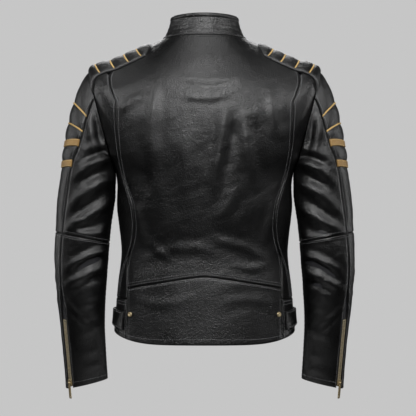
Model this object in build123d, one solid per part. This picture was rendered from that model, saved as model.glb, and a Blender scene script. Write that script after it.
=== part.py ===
from build123d import *

import math
import os

"""Leather riding jacket, men's size M, closed, hanging as it is worn.

Millimetres, +Z up. The wearer faces -Y and the wearer's left is +X. The origin is the centre of
the hem opening. Every leather panel is a shell cut from one of three smooth surfaces: the body,
a collar and a sleeve. Left pieces are modelled and mirrored for the right.
"""

# ---------------------------------------------------------------- driving dimensions
LEATHER = 2.0            # leather with its interlining
SEAM_GAP = 0.8           # each panel stops this far short of its seam line
PAD_RISE = 2.5           # how far a padded sleeve panel stands above the leather
PAD_BASE = 2.7           # gap under a shoulder pad
PAD_TOP = 6.3            # top of a shoulder pad above the leather
HEM_HALF_WIDTH = 185.0
WAIST_HALF_WIDTH = 170.0
ARMPIT = (181.0, 320.0)          # x, z of the lowest point of the armhole
SHOULDER_POINT = (236.0, 529.0)  # x, z of its highest point
NECK_HALF_WIDTH = 86.0
NECK_HEIGHT = 600.0
FRONT_LEAN = (-112.0, -88.0)     # y of the straight centre front, at the hem and at the neck
FRONT_NECK_HEIGHT = 562.0
COLLAR_HEIGHT = 45.0
HEM_DROP = 20.0          # how far the hem dips at the centre back
SIDE_PIECE_TOP = 70.0            # top of the hem pieces that carry the waist tabs
ELBOW_PIVOT = (251.0, 0.0, 140.0)
ELBOW_BALL = 52.0                # radius of the elbow gusset
ELBOW_CLEAR = 66.5               # sleeve panels end at least this far from the pivot
ARMHOLE_CLEAR = 2.0              # body panels and sleeve each stop this far from the armhole plane
ZIP_SLIT_HALF = 6.8              # half width of the slit that shows a zip
ZIP_DEPTH = 2.7                  # depth of the chain's middle below the leather's surface

# Body sections: station (height at centre back), half width, y at centre back,
# height at the side or shoulder ridge, height at centre front, squareness.
BODY_SECTIONS = [
    (0, HEM_HALF_WIDTH, 112, 0, 0, 2.3),
    (90, 178, 104, 90, 90, 2.3),
    (165, WAIST_HALF_WIDTH, 100, 165, 165, 2.3),
    (250, 176, 110, 250, 250, 2.35),
    (320, ARMPIT[0], 119, ARMPIT[1], 316, 2.4),
    (365, 208, 123, 372, 352, 2.4),
    (410, 232, 124, 455, 390, 2.4),
    (445, SHOULDER_POINT[0], 123, SHOULDER_POINT[1], 425, 2.4),
    (500, 183, 116, 554, 478, 2.35),
    (540, 140, 101, 574, 517, 2.25),
    (570, 110, 86, 587, 540, 2.15),
    (NECK_HEIGHT, NECK_HALF_WIDTH, 66, 598, FRONT_NECK_HEIGHT, 2.1),
]
# Sleeve sections: station, inner rail x and z, outer rail x and z, half depth, y of the middle.
SLEEVE_SECTIONS = [
    (0.0, ARMPIT[0], ARMPIT[1], SHOULDER_POINT[0], SHOULDER_POINT[1] + 2, 56, 7),
    (0.1, 186, 296, 262, 477, 62, 6),
    (0.2, 189, 272, 277, 422, 66, 4),
    (0.3, 191, 246, 288, 362, 67, 2),
    (0.4, 192.5, 217, 295, 297, 64, 0),
    (0.5, 194.5, 182, 305.5, 203, 58, 0),
    (0.6, 199, 128, 308.5, 138, 55, -6),
    (0.7, 203.5, 75, 305, 75, 52, -17),
    (0.8, 206.5, 17, 299.5, 14, 48, -29),
    (0.9, 205, -43, 294, -50, 43, -41),
    (1.0, 202, -104, 289.5, -124, 38, -54),
]


# ---------------------------------------------------------------- curves and surfaces
def smooth(keys, column, at):
    """Value of one column of a table at a station, by a cubic through the table's rows."""
    last = len(keys) - 1
    i = next((k for k in range(last) if at <= keys[k + 1][0]), last - 1)
    x = [keys[min(max(k, 0), last)][0] for k in (i - 1, i, i + 1, i + 2)]
    y = [keys[min(max(k, 0), last)][column] for k in (i - 1, i, i + 1, i + 2)]
    span = x[2] - x[1]
    slope_1 = (y[2] - y[0]) / (x[2] - x[0]) * span
    slope_2 = (y[3] - y[1]) / (x[3] - x[1]) * span
    f = min(max((at - x[1]) / span, 0.0), 1.0)
    return (
        y[1] * (1 + 2 * f) * (1 - f) ** 2
        + slope_1 * f * (1 - f) ** 2
        + y[2] * f * f * (3 - 2 * f)
        - slope_2 * f * f * (1 - f)
    )


def mix(a, b, f):
    return a + (b - a) * f


def ease(f):
    """0 to 1 with level ends."""
    f = min(max(f, 0.0), 1.0)
    return f * f * (3 - 2 * f)


def front_y(z):
    """The straight, leaning centre-front line."""
    return mix(FRONT_LEAN[0], FRONT_LEAN[1], z / FRONT_NECK_HEIGHT)


def body_section(s):
    """Half width, back depth, front depth, middle y, three heights and squareness at a station."""
    half, back, side_z, front_z, power = (smooth(BODY_SECTIONS, c, s) for c in range(1, 6))
    back_z = s - HEM_DROP * ease(1 - s / 90)
    middle = mix(0, -11, ease((s - 400) / 200))
    return half, back - middle, middle - front_y(front_z), middle, side_z, back_z, front_z, power


def body(s, angle):
    """Point on the body's outer surface: angle 0 at the wearer's left, 90 at the back."""
    half, back, front, middle, side_z, back_z, front_z, power = body_section(s)
    c, d = math.cos(math.radians(angle)), math.sin(math.radians(angle))
    depth = back if d >= 0 else front
    reach = (abs(c / half) ** power + abs(d / depth) ** power) ** (-1 / power)
    level = back_z if d >= 0 else front_z
    return Vector(reach * c, middle + reach * d, mix(side_z, level, 1 - abs(c) ** 10))


def sleeve(t, angle):
    """Point on the left sleeve: angle 0 on the outer rail, 90 at the back, 180 on the inner rail."""
    ix, iz, ox, oz, depth, middle = (smooth(SLEEVE_SECTIONS, c, t) for c in range(1, 7))
    c, d = math.cos(math.radians(angle)), math.sin(math.radians(angle))
    x, z = mix(ix, ox, (1 + c) / 2), mix(iz, oz, (1 + c) / 2)
    return Vector(x, middle + depth * d, z)


def collar(h, angle):
    """Point on the collar's outer surface: h 0 at the neck seam, 1 at the top edge."""
    flare = (1 - h) ** 3
    half = mix(79, 68, h) + 5 * flare
    back = mix(70, 67, h) + 5 * flare
    front = 76 + 1.5 * flare
    side_z, back_z, front_z = 599 + h * (COLLAR_HEIGHT - 1), 601 + h * COLLAR_HEIGHT, 564 + h * 41
    c, d = math.cos(math.radians(angle)), math.sin(math.radians(angle))
    depth, level = (back, back_z) if d >= 0 else (front, front_z)
    reach = (abs(c / half) ** 2.1 + abs(d / depth) ** 2.1) ** (-1 / 2.1)
    return Vector(reach * c, -11 + reach * d, mix(side_z, level, abs(d) ** 1.6))


def outward(surface, u, angle):
    """Unit normal of a surface, pointing out of the jacket."""
    du = 0.5 if surface is body else 0.004
    along = surface(u + du, angle) - surface(u - du, angle)
    around = surface(u, angle + 0.5) - surface(u, angle - 0.5)
    normal = along.cross(around) if surface is sleeve else around.cross(along)
    return normal.normalized()


def offset(surface, u, angle, rise):
    """A surface's point moved out of the jacket by rise, or into it if rise is negative."""
    return surface(u, angle) + outward(surface, u, angle) * rise


def solid_between(top_points, bottom_points):
    """Closed solid between two grids of points of the same size."""
    faces = [
        Face.make_surface_from_array_of_points(grid, tol=0.1, min_deg=3, max_deg=5)
        for grid in (top_points, bottom_points)
    ]
    walls = []
    for edge in faces[0].edges():
        partner = min(faces[1].edges(), key=lambda e: (e.center() - edge.center()).length)
        walls.append(Face.make_surface_from_curves(edge, partner))
    shape = Solid(Shell(faces + walls))
    return shape if shape.volume > 0 else Solid(Shell([-f for f in faces + walls]))


def panel(surface, place, rise=0.0, thick=LEATHER, rows=12, columns=9):
    """Shell over the patch of a surface that place(i, j) maps to (station, angle)."""
    grids = []
    for level in (rise, rise - thick):
        grids.append([
            [offset(surface, *place(i / columns, j / rows), level) for j in range(rows + 1)]
            for i in range(columns + 1)
        ])
    return solid_between(*grids)


def mirrored(shape):
    return shape.mirror(Plane.YZ)


# ---------------------------------------------------------------- seam lines of the body
# x of each seam against the station.
BACK_SEAM = [(0, 156), (115, 156), (140, 155.5), (158, 152), (175, 147), (192, 143), (221, 140.5),
             (258, 144.5), (291, 155), (332, 167), (381, 175), (451, 177), (520, 174)]
SIDE_SEAM = [(60, 176), (90, 173), (128, 166), (158, 154), (175, 147), (192, 143), (221, 140.5),
             (258, 144.5), (291, 155), (332, 167), (381, 175), (451, 177), (520, 174)]
FRONT_SEAM = [(0, 142), (70, 138), (165, 130), (250, 136), (320, 150), (400, 168), (470, 176),
              (520, 174)]
SEAM_TURN = 440.0
SEAM_UNDER_PAD = [(483, 16), (520, 9), (555, 3), (580, 1), (600, 0.6)]   # station, angle
GUSSET_TOP = 150.0
SIDE_PANEL_TOP = 436.0                   # above this the shoulder pad covers the centre panels
PAD_BACK, PAD_FRONT = 55.0, 48.0         # how far the shoulder pads reach from the ridge
PAD_CORNER, PAD_TIP = 547.0, 571.0       # stations of a pad's inner corners and of its tip


def armhole_x(z):
    """x of the armhole plane at a height."""
    slope = (SHOULDER_POINT[0] - ARMPIT[0]) / (SHOULDER_POINT[1] - ARMPIT[1])
    return ARMPIT[0] + (z - ARMPIT[1]) * slope


def angle_at(s, x, side):
    """Angle of the body's point at a given x on a station, on the back (1) or front (-1)."""
    half, back, front, middle, *_, power = body_section(s)
    share = min(x / half, 0.9995)
    depth = (back if side > 0 else front) * (1 - share**power) ** (1 / power)
    return side * math.degrees(math.atan2(depth, share * half))


def pad_angle(s, side):
    """Angle of the shoulder pad's long edge on a station."""
    half, back, front, middle, *_, power = body_section(s)
    reach, depth = (PAD_BACK, back) if side > 0 else (PAD_FRONT, front)
    across = half * (1 - (reach / depth) ** power) ** (1 / power)
    return side * math.degrees(math.atan2(reach, across))


def beyond_armhole(clear):
    """Block on the sleeve's side of the armhole plane, taking the last clear mm before it too."""
    run, climb = SHOULDER_POINT[0] - ARMPIT[0], SHOULDER_POINT[1] - ARMPIT[1]
    plane = Plane(origin=(ARMPIT[0], 0, ARMPIT[1]), x_dir=(run, 0, climb), z_dir=(climb, 0, -run))
    return plane.location * Pos(290, 0, 200 - clear) * Box(600, 600, 400)


def gap_angle(s, angle, gap=SEAM_GAP):
    """The change of angle that moves a point by gap along its station."""
    step = (body(s, angle + 0.5) - body(s, angle - 0.5)).length
    return gap / step


def princess_angle(s, side):
    """Angle of the back or front princess seam; under the shoulder pad it nears the ridge."""
    line = BACK_SEAM if side > 0 else FRONT_SEAM
    if s < SEAM_TURN:
        return angle_at(s, smooth(line, 1, s), side)
    keys = [(k, abs(angle_at(k, smooth(line, 1, k), side))) for k in (SEAM_TURN - 20, SEAM_TURN)]
    return side * smooth(keys + SEAM_UNDER_PAD, 1, s)


def inner_edge(s, side):
    """Where a centre panel starts: just past the princess seam."""
    angle = princess_angle(s, side)
    return angle + side * gap_angle(s, angle)


# ---------------------------------------------------------------- body panels
def waist_seam(share):
    """Station of the arched seam above the back hem band; share runs 0 to 1 across the back."""
    return 115 - 25 * abs(2 * share - 1) ** 1.5


def back_centre_panel():
    """The back, from the arched waist seam to the neck, made as a half and its mirror image."""
    def place(i, j):
        s = mix(waist_seam(i / 2) + SEAM_GAP, NECK_HEIGHT - 1, j)
        return s, mix(inner_edge(s, 1), 90, i)
    half = panel(body, place, rows=16, columns=8)
    return half + mirrored(half)


def back_waist_panel():
    def place(i, j):
        s = mix(0, waist_seam(i) - SEAM_GAP, j)
        edge = inner_edge(s, 1)
        return s, mix(edge, 180 - edge, i)
    return panel(body, place, rows=6, columns=16)


def armhole_angle(s, side):
    """Angle where a station above the armpit meets the armhole's edge."""
    low, high = 0.0, 60.0
    for _ in range(24):
        angle = (low + high) / 2
        p = body(s, side * angle)
        past = p.X > armhole_x(p.Z) - ARMHOLE_CLEAR
        low, high = (angle, high) if past else (low, angle)
    return side * low


def side_panel(side):
    """Panel under the arm on the back or front, in a part below the armpit and one above it."""
    seam_line = SIDE_SEAM if side > 0 else FRONT_SEAM

    def part(low, high, outer, rows):
        def place(i, j):
            s = mix(low, high, j)
            seam = princess_angle(s, side)
            if s < SEAM_TURN:
                seam = angle_at(s, smooth(seam_line, 1, s), side)
            return s, mix(outer(s), seam - side * gap_angle(s, seam), i)
        return panel(body, place, rows=rows, columns=6)
    under = part(SIDE_PIECE_TOP + SEAM_GAP, ARMPIT[1] + 1, lambda s: side * gap_angle(s, 0), 20)
    beside = part(ARMPIT[1] + 2, SIDE_PANEL_TOP, lambda s: armhole_angle(s, side), 14)
    return [under, beside]


def side_gusset():
    """Wedge between the side panel's curved seam and the centre panel, above the hem piece."""
    def place(i, j):
        s = mix(SIDE_PIECE_TOP + SEAM_GAP, GUSSET_TOP, j)
        outer = angle_at(s, smooth(SIDE_SEAM, 1, s), 1)
        inner = princess_angle(s, 1)
        return s, mix(outer + gap_angle(s, outer), inner - gap_angle(s, inner), i)
    return panel(body, place, rows=8, columns=4)


def side_hem_panel():
    """Hem piece under the arm, carrying the waist tab and its studs."""
    def place(i, j):
        s = mix(0, SIDE_PIECE_TOP - SEAM_GAP, j)
        front, back = princess_angle(s, -1), princess_angle(s, 1)
        return s, mix(front + gap_angle(s, front), back - gap_angle(s, back), i)
    return panel(body, place, rows=5, columns=14)


def front_centre_panel():
    """From the zip to the front princess seam, hem to neck, with the pocket slit cut through."""
    def place(i, j):
        s = mix(0, NECK_HEIGHT - 1, j)
        return s, mix(inner_edge(s, -1), angle_at(s, ZIP_SLIT_HALF, -1), i)
    shape = panel(body, place, rows=18, columns=6)
    slit = Box(POCKET_LENGTH + 6, 2 * ZIP_SLIT_HALF + 9, 14)
    return shape - pocket_frame().location * Pos(POCKET_LENGTH / 2, 0, 0) * slit


def shoulder_pad():
    """Padded panel laid over the shoulder, from the armhole to a blunt point near the neck."""
    def place(i, j):
        s = mix(425, mix(PAD_TIP, PAD_CORNER, (2 * i - 1) ** 2), j)
        return s, mix(pad_angle(s, -1), pad_angle(s, 1), i)
    pad = panel(body, place, rise=PAD_TOP, thick=PAD_TOP - PAD_BASE, rows=14, columns=14)
    return pad - beyond_armhole(ARMHOLE_CLEAR)


def body_lining():
    """Thin lining inside the body: one back and two fronts."""
    depth, cloth, top = -8.0, 0.8, NECK_HEIGHT - 22

    def back(i, j):
        return mix(4, top, j), mix(1, 90, i)

    def front(i, j):
        s = mix(4, top, j)
        return s, mix(-1, angle_at(s, 24, -1), i)
    waste = beyond_armhole(ARMHOLE_CLEAR + 4)
    half = panel(body, back, depth, cloth, rows=16, columns=7) - waste
    left = panel(body, front, depth, cloth, rows=16, columns=6) - waste
    return [half + mirrored(half), left, mirrored(left)]


# ---------------------------------------------------------------- collar
COLLAR_FRONT = 86.5      # the collar's ends stop at this angle from the side, at centre front


def collar_part(low, high, rise, thick):
    def place(i, j):
        return mix(low, high, j), mix(-COLLAR_FRONT, 180 + COLLAR_FRONT, i)
    return panel(collar, place, rise, thick, rows=4, columns=40)


def collar_tab():
    """Strap that closes the collar across the front, held by a press stud."""
    def place(i, j):
        return mix(0.3, 0.8, j), mix(-70, -103, i)
    return panel(collar, place, rise=4.4, thick=LEATHER, rows=3, columns=8)


HANGER_RADIUS = 9.0      # inside radius of the hanger loop
CORD_RADIUS = 2.0
HANGER_LENGTH = 3.0      # length of the round wall that a peg passes through
HANGER_CENTRE = (0.0, 48.0, 588.0)


def hanger_loop():
    """Leather cord ring sewn inside the back of the collar seam."""
    ring = Torus(HANGER_RADIUS + CORD_RADIUS, CORD_RADIUS)
    tube = ring - Cylinder(HANGER_RADIUS + 0.4, 10)
    ring = tube + (Cylinder(HANGER_RADIUS + 1.6, HANGER_LENGTH) - Cylinder(HANGER_RADIUS, HANGER_LENGTH))
    return Pos(*HANGER_CENTRE) * Rot(90, 0, 0) * ring


# ---------------------------------------------------------------- zips
TOOTH_PITCH, TOOTH_WIDTH = 3.0, 1.6
CHAIN_HALF, CHAIN_THICK = 4.3, 2.4
CENTRE_GAP = 0.5         # each row of teeth stops this far from the zip's middle
TAPE_HALF, CUFF_TAPE_HALF, TAPE_THICK = 11.0, 5.8, 0.8
SLIDER_LENGTH, SLIDER_HALF = 12.0, 5.7
SLIDER_INSIDE, SLIDER_PLATE = 1.45, 1.2
EAR_INSIDE, EAR_THICK = 1.5, 1.1
PIN_RADIUS, PIN_CLEAR = 0.7, 0.07
PULL_LENGTH, PULL_HALF, PULL_THICK = 34.0, 3.2, 1.4
PIN_HEIGHT = SLIDER_INSIDE + SLIDER_PLATE + 1.7   # the pull's hinge above the chain's middle
PIN_PLACE = SLIDER_LENGTH / 2
CUFF_ZIP_ANGLE, CUFF_ZIP_TOP = 42.5, 0.785
POCKET_LENGTH = 124.0
POCKET_ENDS = ((95.0, 185.0), (122.0, 66.0))      # x and z of a pocket zip's upper and lower end
FRONT_ZIP_ENDS = (6.0, 545.0)                     # heights of the front zip's ends


def zip_teeth(length):
    """Two rows of teeth on their cords, along X from 0, as one comb-shaped solid each, and stops."""
    outline = [(0, CHAIN_HALF), (0, CHAIN_HALF - 1.3)]
    for k in range(int(length / TOOTH_PITCH)):
        x = k * TOOTH_PITCH + 0.7
        outline += [(x, CHAIN_HALF - 1.3), (x, CENTRE_GAP), (x + TOOTH_WIDTH, CENTRE_GAP),
                    (x + TOOTH_WIDTH, CHAIN_HALF - 1.3)]
    outline += [(length, CHAIN_HALF - 1.3), (length, CHAIN_HALF)]
    row = extrude(Face(Wire.make_polygon(outline, close=True)), CHAIN_THICK)
    row = Pos(0, 0, -CHAIN_THICK / 2) * row
    stop = Pos(length + 1.6, CHAIN_HALF / 2 + 0.25, 0) * Box(2.6, CHAIN_HALF - 0.5, CHAIN_THICK)
    rows = [row, stop]
    return [*rows, *[shape.mirror(Plane.XZ) for shape in rows]]


def zip_tapes(length, half):
    """Flat cloth tape on each side of the chain."""
    inner = CHAIN_HALF + 0.15
    tape = Pos(length / 2, (inner + half) / 2, 0) * Box(length, half - inner, TAPE_THICK)
    return [tape, tape.mirror(Plane.XZ)]


def zip_slider():
    """Slider in its own frame: chain along X, pull side up, nose at X 0, hinge pin in two ears."""
    outline = RectangleRounded(SLIDER_LENGTH, 2 * SLIDER_HALF, 2.4)
    plate = extrude(outline, SLIDER_PLATE)
    flange = Pos(0, SLIDER_HALF - 0.45, 0) * Box(SLIDER_LENGTH - 5, 0.9, 0.85)
    body_shape = Pos(0, 0, SLIDER_INSIDE) * plate + Pos(0, 0, -SLIDER_INSIDE - SLIDER_PLATE) * plate
    for up in (1, -1):
        for side in (1, -1):
            body_shape += Pos(0, 0, up * (SLIDER_INSIDE - 0.4)) * (
                flange if side > 0 else flange.mirror(Plane.XZ))
    body_shape += Pos(SLIDER_LENGTH / 2 - 2.5, 0, 0) * Box(3, 0.6, 2 * SLIDER_INSIDE + 0.4)
    rise = PIN_HEIGHT - SLIDER_INSIDE - SLIDER_PLATE
    ear = Pos(0, EAR_INSIDE + EAR_THICK / 2, PIN_HEIGHT - rise / 2 - 0.1) * Box(3.2, EAR_THICK, rise + 0.2)
    ear += Pos(0, EAR_INSIDE + EAR_THICK / 2, PIN_HEIGHT) * Rot(90, 0, 0) * Cylinder(1.6, EAR_THICK)
    body_shape += ear + ear.mirror(Plane.XZ)
    body_shape += Pos(0, 0, PIN_HEIGHT) * Rot(90, 0, 0) * Cylinder(PIN_RADIUS, 2 * EAR_INSIDE + 0.4)
    return Pos(PIN_PLACE, 0, 0) * body_shape


def zip_pull():
    """Pull tab on the slider's pin, hanging down the zip, in the slider's frame."""
    eye = Rot(90, 0, 0) * Cylinder(1.5, 2 * EAR_INSIDE - 0.4)
    neck = Pos(-3, 0, 0) * Box(6, 2 * EAR_INSIDE - 0.4, PULL_THICK)
    blade = extrude(RectangleRounded(PULL_LENGTH - 5, 2 * PULL_HALF, 1.6), PULL_THICK)
    blade = Pos(-(PULL_LENGTH + 5) / 2, 0, -PULL_THICK / 2) * blade
    blade -= Pos(3.4 - PULL_LENGTH, 0, 0) * Cylinder(1.5, 4)
    shape = eye + neck + blade
    shape -= Rot(90, 0, 0) * Cylinder(PIN_RADIUS + PIN_CLEAR, 8)
    return Pos(PIN_PLACE, 0, PIN_HEIGHT) * shape


def zip_frame(start, end, normal):
    """Plane with X along the zip from start, and Z out of the jacket."""
    along = (end - start).normalized()
    out = (normal - along * normal.dot(along)).normalized()
    return Plane(origin=start, x_dir=along, z_dir=out)


def front_frame():
    """The front zip, from its lower end up."""
    low, high = (Vector(0, front_y(z) + ZIP_DEPTH, z) for z in FRONT_ZIP_ENDS)
    return zip_frame(low, high, Vector(0, -1, 0))


def pocket_frame():
    """The left hip pocket's zip, from its lower end up."""
    ends = []
    for x, z in reversed(POCKET_ENDS):
        angle = angle_at(z, x, -1)
        ends.append(offset(body, z, angle, -ZIP_DEPTH))
    s = (POCKET_ENDS[0][1] + POCKET_ENDS[1][1]) / 2
    x = (POCKET_ENDS[0][0] + POCKET_ENDS[1][0]) / 2
    return zip_frame(*ends, outward(body, s, angle_at(s, x, -1)))


def cuff_frame():
    """The left cuff's zip, from the cuff edge up the forearm."""
    low, high = (offset(sleeve, t, CUFF_ZIP_ANGLE, -ZIP_DEPTH) for t in (0.992, CUFF_ZIP_TOP))
    return zip_frame(low, high, outward(sleeve, 0.9, CUFF_ZIP_ANGLE))


def zip_set(frame, length, slider_at, tape_half=TAPE_HALF):
    """Teeth, tapes, slider and pull of one zip, placed by its frame."""
    place = frame.location
    slider_place = place * Pos(slider_at, 0, 0)
    return {
        "teeth": [place * shape for shape in zip_teeth(length)],
        "tapes": [place * shape for shape in zip_tapes(length, tape_half)],
        "slider": [slider_place * zip_slider()],
        "pull": [slider_place * zip_pull()],
    }


def pocket_welts():
    """Leather lips on both sides of a pocket zip."""
    lip = Pos(POCKET_LENGTH / 2, ZIP_SLIT_HALF + 2, ZIP_DEPTH + 0.6) * Box(POCKET_LENGTH + 4, 3.4, 2.6)
    return [pocket_frame().location * shape for shape in (lip, lip.mirror(Plane.XZ))]


def pocket_bag():
    """Flat cloth bag behind a pocket zip."""
    (top_x, top_z), (low_x, low_z) = POCKET_ENDS

    def place(i, j):
        s = mix(low_z - 8, top_z + 8, j)
        x = mix(low_x, top_x, (s - low_z) / (top_z - low_z)) + mix(14, -70, i)
        return s, angle_at(s, x, -1)
    return panel(body, place, -5.8, 0.8, rows=8, columns=6)


# ---------------------------------------------------------------- waist tabs and studs
TAB_LOW, TAB_HIGH = 15.0, 48.0           # heights of a waist tab's edges
TAB_ROOT, TAB_TIP = -6.0, 20.5          # angles of its sewn end and of its free end
TAB_RISE = 3.2
STUD_RADIUS, STUD_RISE = 5.0, 2.4


def waist_tab():
    """Leather tab wrapped round the side of the hem, with the press-stud socket under its tip."""
    def place(i, j):
        return mix(TAB_LOW, TAB_HIGH, j), mix(TAB_ROOT, TAB_TIP, i)
    strap = panel(body, place, rise=TAB_RISE + 2.6, thick=2.6, rows=4, columns=12)
    socket_frame = stud_frame(TAB_TIP - 5, (TAB_LOW + TAB_HIGH) / 2, 1.7)
    socket = socket_frame.location * Pos(0, 0, 0.6) * Cylinder(STUD_RADIUS, 1.2)
    return [strap, socket]


def stud_frame(angle, s, rise=0.1):
    """Plane on the body's surface with Z outward, where a stud sits."""
    normal = outward(body, s, angle)
    return Plane(origin=body(s, angle) + normal * rise, x_dir=Vector(0, 0, 1), z_dir=normal)


def stud():
    """Press stud: a domed cap with a raised rim and a dimple."""
    cap = Pos(0, 0, STUD_RISE / 2) * Cylinder(STUD_RADIUS, STUD_RISE)
    cap = fillet(cap.edges().group_by(Axis.Z)[-1], STUD_RISE * 0.6)
    return cap - Pos(0, 0, STUD_RISE + 1.2) * Sphere(2.0)


def snap_studs():
    """The two bare studs on the back hem band, and the low ones under the tabs' tips."""
    back = angle_at(STUD_HEIGHT, STUD_X, 1)
    low = stud_frame(TAB_TIP - 5, (TAB_LOW + TAB_HIGH) / 2)
    shapes = [
        stud_frame(back, STUD_HEIGHT).location * stud(),
        low.location * Pos(0, 0, 0.6) * Cylinder(3.0, 1.2),
    ]
    return shapes + [mirrored(shape) for shape in shapes]


STUD_X, STUD_HEIGHT = 149.0, 45.0        # x and station of the bare studs


def collar_tab_cap():
    """Press-stud cap on the collar tab."""
    angle, h = -99.0, 0.55
    normal = outward(collar, h, angle)
    frame = Plane(origin=offset(collar, h, angle, 4.5), x_dir=Vector(0, 0, 1), z_dir=normal)
    return frame.location * stud()


# ---------------------------------------------------------------- sleeves
STRIPE_EDGE = [(0.0, 62), (0.08, 64), (0.14, 65), (0.21, 62), (0.3, 54), (0.4, 50), (0.5, 47),
               (0.6, 44.5), (0.7, 42.5), (1.0, 42.5)]
SEAM_T = 0.5             # station of the elbow seam


def sleeve_gap(t, angle, gap):
    step = (sleeve(t, angle + 0.5) - sleeve(t, angle - 0.5)).length
    return gap / step


def sleeve_start(angle):
    """Station where the sleeve is clear of the armhole plane."""
    low, high = 0.0, 0.3
    slope = (SHOULDER_POINT[0] - ARMPIT[0]) / (SHOULDER_POINT[1] - ARMPIT[1])
    for _ in range(24):
        t = (low + high) / 2
        p = sleeve(t, angle)
        clear = (p.X - armhole_x(p.Z)) / math.hypot(1, slope) > ARMHOLE_CLEAR
        low, high = (low, t) if clear else (t, high)
    return high


def elbow_station(angle, below):
    """Station where a sleeve panel ends clear of the elbow gusset, above or below the pivot."""
    low, high = (0.56, 0.8) if below else (0.56, 0.3)
    for _ in range(24):
        t = (low + high) / 2
        clear = (offset(sleeve, t, angle, -LEATHER) - Vector(*ELBOW_PIVOT)).length > ELBOW_CLEAR
        low, high = (low, t) if clear else (t, high)
    return high


def sleeve_strip(first, last, below, rise=0.0, slit=0.0):
    """Sleeve panel between two edge functions of the station, above or below the elbow."""
    def place(i, j):
        middle = mix(first(0.5), last(0.5), i)
        top = elbow_station(middle, True) if below else sleeve_start(middle)
        bottom = 1.0 if below else elbow_station(middle, False)
        t = mix(top, bottom, j)
        return t, mix(first(t), last(t), i)
    return panel(sleeve, place, rise, LEATHER + rise, rows=16, columns=10)


def stripe_edge(side, gap_side, slit=False):
    """Edge of the outer strip, moved off the seam to one side, and round the cuff zip's slit."""
    def edge(t):
        angle = side * smooth(STRIPE_EDGE, 1, t)
        gap = SEAM_GAP
        if slit:
            gap = mix(SEAM_GAP, ZIP_SLIT_HALF, ease((t - 0.62) / (CUFF_ZIP_TOP - 0.66)))
        return angle + gap_side * sleeve_gap(t, angle, gap)
    return edge


def under_edge(gap_side):
    return lambda t: 180 + gap_side * sleeve_gap(t, 180, SEAM_GAP)


def sleeve_stripes():
    """Two raised leather bars and two thin pipings across the outer strip."""
    shapes = []
    for ridge_t, climb, wide, rise in STRIPES:
        def place(i, j, ridge_t=ridge_t, climb=climb, wide=wide):
            edge = smooth(STRIPE_EDGE, 1, ridge_t - climb) - 1.5
            angle = mix(-edge, edge, i)
            fall = (1 - math.cos(math.radians(angle))) / (1 - math.cos(math.radians(edge)))
            t = ridge_t - climb * fall
            length = (sleeve(t + 0.01, angle) - sleeve(t - 0.01, angle)).length / 0.02
            return t + mix(-wide / 2, wide / 2, j) / length, angle
        shapes.append(panel(sleeve, place, PAD_RISE + 0.1 + rise, rise, rows=3, columns=10))
    return shapes


# station on the outer rail, how far the ends climb, width, rise
STRIPES = [(0.12, 0.04, 3.4, 2.0), (0.195, 0.052, 3.4, 2.0),
           (0.267, 0.07, 14.5, 1.6), (0.335, 0.043, 14.5, 1.6)]


def shoulder_piping():
    """Four pipings across each shoulder pad."""
    shapes = []
    for s in PIPING_STATIONS:
        def place(i, j, s=s):
            at = s + mix(-1.9, 1.9, j)
            return at, mix(pad_angle(at, -1), pad_angle(at, 1), i) * 0.97
        shapes.append(panel(body, place, PAD_TOP + 2.9, 2.0, rows=3, columns=12))
    return shapes + [mirrored(shape) for shape in shapes]


PIPING_STATIONS = (463, 491, 518, 541)


def elbow_gusset():
    """Hollow ball segment that closes the elbow between the sleeve and the forearm."""
    ball = Sphere(ELBOW_BALL) - Sphere(ELBOW_BALL - 2)
    keep = Box(200, 200, 70)
    return Pos(*ELBOW_PIVOT) * (ball & keep)


# ---------------------------------------------------------------- assembly
def both_sides(name, shapes):
    return {
        f"{name}_left": shapes,
        f"{name}_right": [mirrored(shape) for shape in shapes],
    }


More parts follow.
